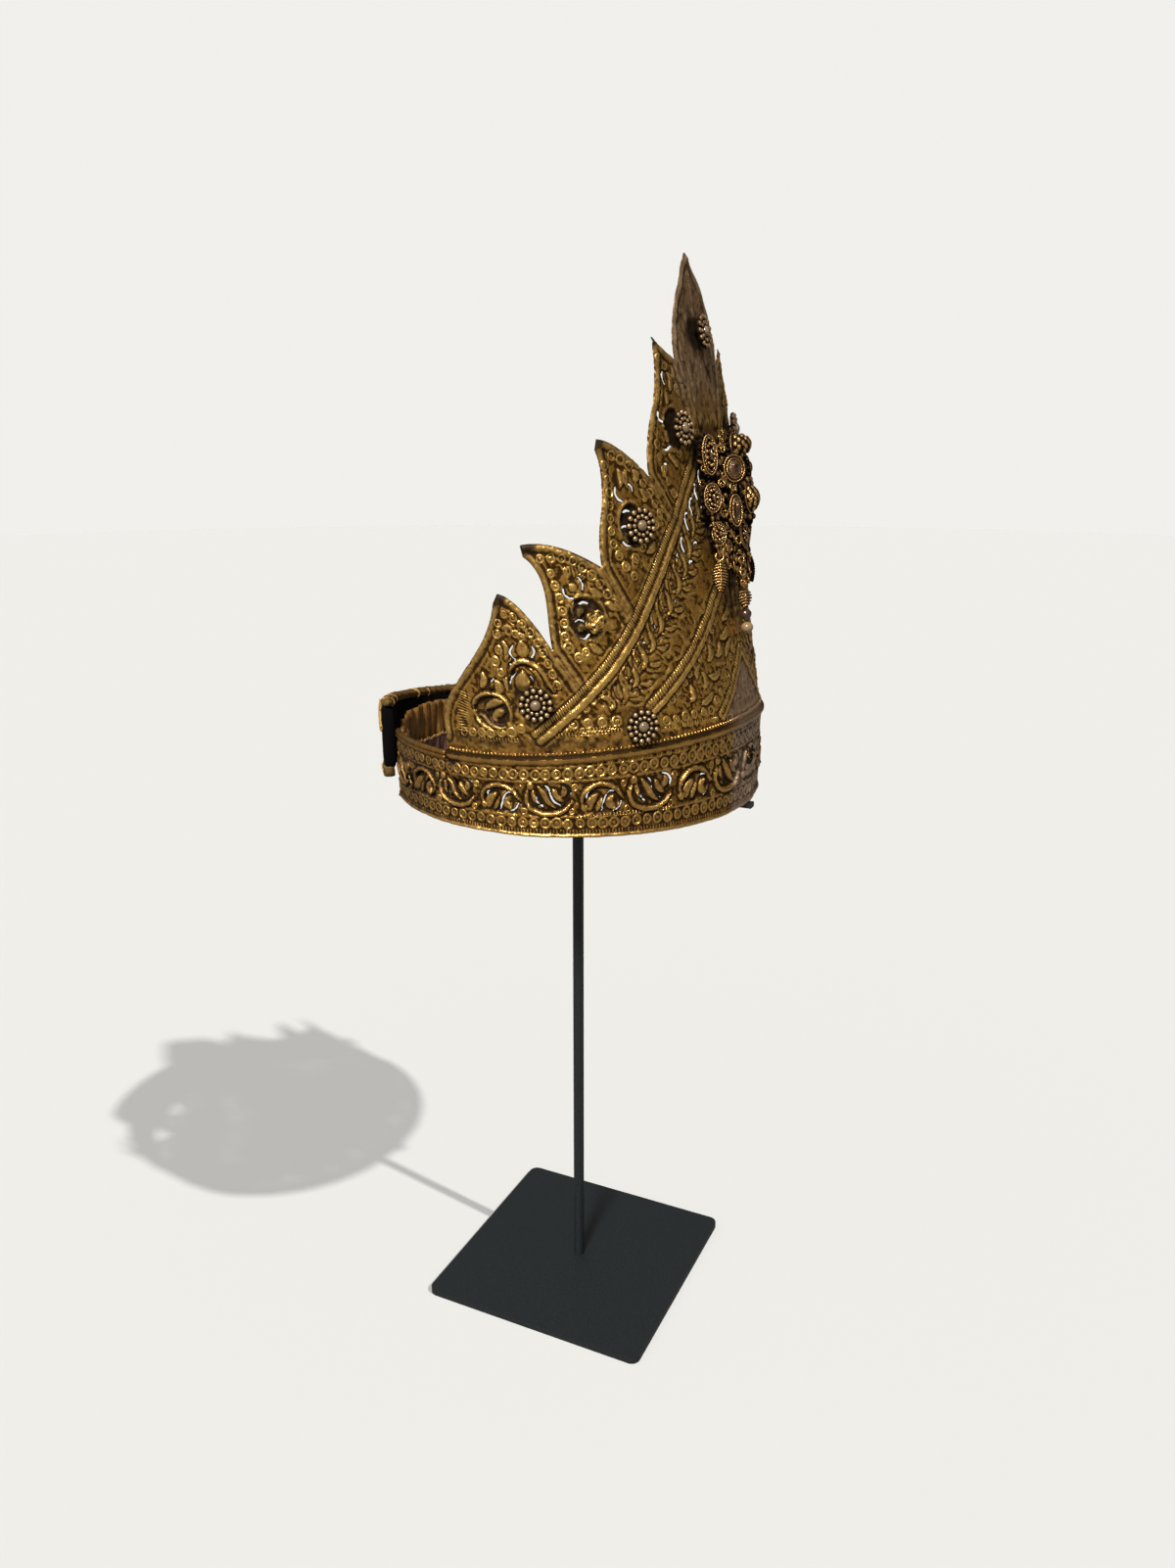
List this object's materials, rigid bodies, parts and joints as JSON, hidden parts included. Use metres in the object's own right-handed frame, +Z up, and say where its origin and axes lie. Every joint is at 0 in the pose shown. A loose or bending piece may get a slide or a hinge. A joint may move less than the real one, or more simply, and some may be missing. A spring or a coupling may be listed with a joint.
{
  "type": "ceremonial crown on a display stand",
  "caption": "Tall pierced brass ceremonial crown with leaf-shaped points, beaded rosettes, a stone-set front spray and a velvet back strap, on a slim black display stand.",
  "frame": {"origin": "middle of the underside of the stand's base plate", "axes": "+Z up along the stand's rod; the crown's front faces -Y and the wearer's right side is -X"},
  "size_m": [0.2038, 0.1975, 0.552],
  "materials": {
    "black_steel": "matte black paint",
    "aged_brass": "worn gold-brown embossed sheet with dark patina in the hollows",
    "dark_brass": "dark patina with bright worn beads",
    "gilt_brass": "gilded, worn",
    "opal_stone": "milky opal",
    "clear_stone": "faceted clear stone",
    "pale_bead": "pearly",
    "dark_bead": "dark brown",
    "black_velvet": "black velvet",
    "gold_satin": "pleated brown-gold satin",
    "gold_cord": "twisted gold thread"
  },
  "bodies": {
    "root": {"back_strap": "black_velvet", "base_plate": "black_steel", "crown_support": "black_steel", "front_plate": "aged_brass", "headband": "aged_brass", "rosette_leaf_1_far": "dark_brass", "rosette_leaf_1_near": "dark_brass", "rosette_leaf_2_far": "dark_brass", "rosette_leaf_2_near": "dark_brass", "rosette_leaf_3_far": "dark_brass", "rosette_leaf_3_near": "dark_brass", "rosette_leaf_4_far": "dark_brass", "rosette_leaf_4_near": "dark_brass", "rosette_rib_foot_far": "dark_brass", "rosette_rib_foot_near": "dark_brass", "rosette_spike": "dark_brass", "rosette_stone_leaf_1_far": "opal_stone", "rosette_stone_leaf_1_near": "opal_stone", "rosette_stone_leaf_3_far": "opal_stone", "rosette_stone_leaf_3_near": "opal_stone", "rosette_stone_leaf_4_far": "opal_stone", "rosette_stone_leaf_4_near": "opal_stone", "rosette_stone_rib_foot_far": "opal_stone", "rosette_stone_rib_foot_near": "opal_stone", "rosette_stone_spike": "opal_stone", "spray_bead_dark": "dark_bead", "spray_bead_pale": "pale_bead", "spray_drop_centre": "gilt_brass", "spray_drop_far": "gilt_brass", "spray_drop_near": "gilt_brass", "spray_frame": "gilt_brass", "spray_stone_foot": "clear_stone", "spray_stone_inner_middle_far": "clear_stone", "spray_stone_inner_middle_near": "clear_stone", "spray_stone_inner_top_far": "clear_stone", "spray_stone_inner_top_near": "clear_stone", "spray_stone_lower": "clear_stone", "spray_stone_middle": "clear_stone", "spray_stone_outer_lower_far": "clear_stone", "spray_stone_outer_lower_near": "clear_stone", "spray_stone_outer_middle_far": "clear_stone", "spray_stone_outer_middle_near": "clear_stone", "spray_stone_outer_top_far": "clear_stone", "spray_stone_outer_top_near": "clear_stone", "spray_stone_top": "clear_stone", "stand_rod": "black_steel", "strap_binding": "gold_cord", "strap_lining": "gold_satin", "wire_tie_far": "gilt_brass", "wire_tie_front": "gilt_brass", "wire_tie_near": "gilt_brass"}
  },
  "joints": []
}
